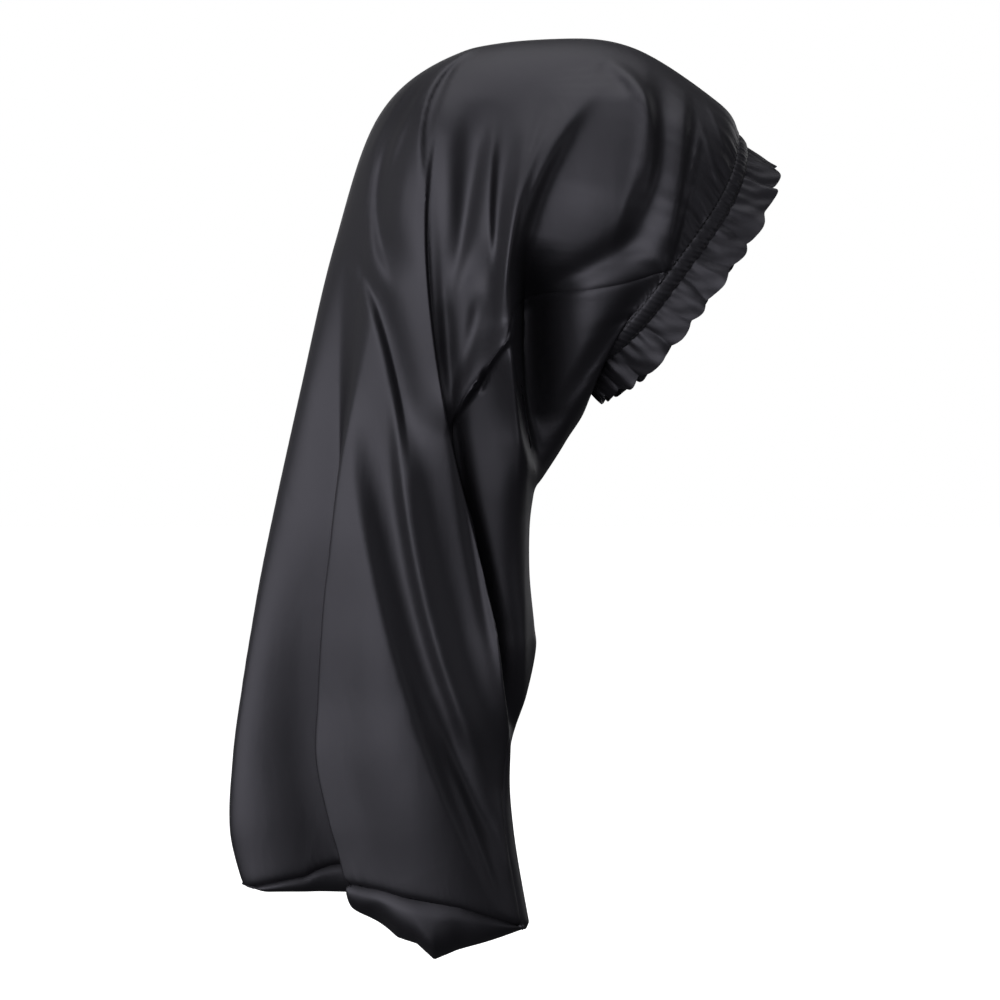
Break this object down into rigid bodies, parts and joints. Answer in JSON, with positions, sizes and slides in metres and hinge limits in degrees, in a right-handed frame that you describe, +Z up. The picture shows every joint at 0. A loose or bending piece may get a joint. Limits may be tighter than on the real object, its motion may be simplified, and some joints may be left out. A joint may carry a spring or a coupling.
{
  "type": "hair bonnet",
  "caption": "Long satin sleep bonnet shown worn: domed crown, elastic-gathered ruffled face opening and a long closed bag for hair hanging down the back.",
  "frame": {"origin": "where the top of the wearer's head touches the inside of the crown", "axes": "+Z up, the wearer faces -Y, and the wearer's right side is at -X"},
  "size_m": [0.1823, 0.3478, 0.5848],
  "materials": {
    "satin": "black satin, smooth and softly shiny, with a fine lengthwise weave"
  },
  "bodies": {
    "root": {"top_panel": "satin", "under_panel": "satin", "elastic_casing": "satin", "ruffle": "satin"}
  },
  "joints": []
}
